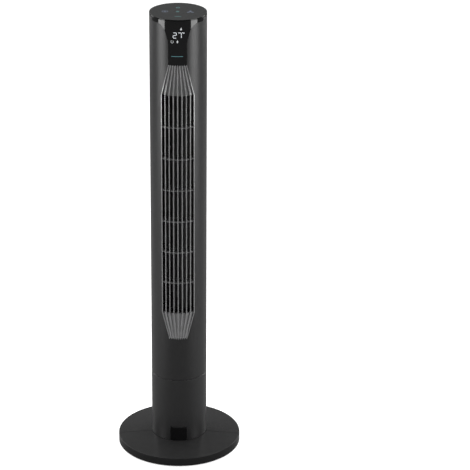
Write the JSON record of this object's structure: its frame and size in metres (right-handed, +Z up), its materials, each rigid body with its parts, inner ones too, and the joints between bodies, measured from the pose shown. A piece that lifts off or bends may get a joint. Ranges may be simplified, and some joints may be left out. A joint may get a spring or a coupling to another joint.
{
  "type": "tower fan",
  "caption": "Slim cylindrical tower fan with a front air outlet, display, touch lid, swivelling body and round base.",
  "frame": {"origin": "on the floor at the centre of the base, under the column's axis", "axes": "+Z up along the column, -Y towards the front with the air outlet and display, +X to the viewer's right"},
  "size_m": [0.294, 0.294, 1.09],
  "materials": {
    "body_plastic": "satin dark grey moulded plastic",
    "base_plastic": "satin dark grey moulded plastic",
    "gloss_black": "polished smoked black",
    "lid_plastic": "satin smoked touch panel",
    "grille_grey": "satin mid grey plastic",
    "inner_black": "black moulded plastic",
    "white_lit": "lit white marks",
    "dim_lit": "dimly lit white marks",
    "teal_mark": "printed teal stripe",
    "icon_lit": "lit teal marks",
    "rubber": "matt black rubber",
    "steel": "bright steel",
    "zinc_plate": "zinc plated sheet",
    "circuit_board": "green circuit laminate",
    "components": "black and dark electronic parts",
    "gear_plastic": "white acetal",
    "copper": "enamelled copper windings",
    "bronze": "sintered bronze",
    "laminations": "stacked steel laminations"
  },
  "bodies": {
    "stand": {"base_front_half": "base_plastic", "base_rear_half": "base_plastic", "base_feet": "rubber", "base_screws": "steel", "pedestal_column": "body_plastic", "column_plate": "gloss_black", "cord_gland": "rubber", "bearing_plate": "inner_black", "bearing_plate_screws": "steel", "bearing_balls": "steel", "ball_cage": "gear_plastic", "drive_bracket": "inner_black", "drive_motor": "zinc_plate", "drive_motor_screws": "steel"},
    "pinion": {"drive_pinion": "gear_plastic", "drive_shaft": "steel"},
    "tower": {"turntable": "inner_black", "swing_gear": "gear_plastic", "hub_retainer": "gear_plastic", "turntable_screws": "steel", "front_shell": "body_plastic", "rear_shell": "body_plastic", "handle_cup": "inner_black", "shell_screws": "steel", "front_grille": "grille_grey", "grille_frame": "inner_black", "display_window": "gloss_black", "readout_digits": "white_lit", "status_marks": "dim_lit", "stripe_mark": "teal_mark", "display_holder": "inner_black", "display_board": "circuit_board", "led_module": "components", "head_ring": "gloss_black", "lid": "lid_plastic", "touch_icons": "icon_lit", "control_board": "circuit_board", "touch_pads": "rubber", "control_chips": "components", "motor_plate": "inner_black", "bearing_bracket": "inner_black", "scroll_wall": "inner_black", "stabiliser": "inner_black", "motor_can": "zinc_plate", "motor_bushes": "bronze", "motor_stator": "laminations", "motor_windings": "copper", "motor_cushions": "rubber", "motor_screws": "steel", "bearing_rubber": "rubber", "top_bush": "bronze", "power_board": "circuit_board", "board_posts": "body_plastic", "board_components": "components"},
    "impeller": {"impeller": "inner_black", "motor_shaft": "steel", "impeller_pin": "steel", "motor_rotor": "laminations"}
  },
  "joints": [
    {"name": "body_oscillation", "type": "hinge", "parent": "stand", "child": "tower", "pos_m": [0, 0, 0.1845], "axis": [0, 0, 1], "range_deg": [-40, 40]},
    {"name": "impeller_spin", "type": "hinge", "parent": "tower", "child": "impeller", "pos_m": [0, 0.004, 0.3], "axis": [0, 0, 1], "continuous": true},
    {"name": "pinion_spin", "type": "hinge", "parent": "stand", "child": "pinion", "pos_m": [0, 0.0405, 0.172], "axis": [0, 0, 1], "range_deg": [-115, 115]}
  ],
  "couplings": [
    {"joint": "pinion_spin", "follows": "body_oscillation", "ratio": -2.8571}
  ]
}
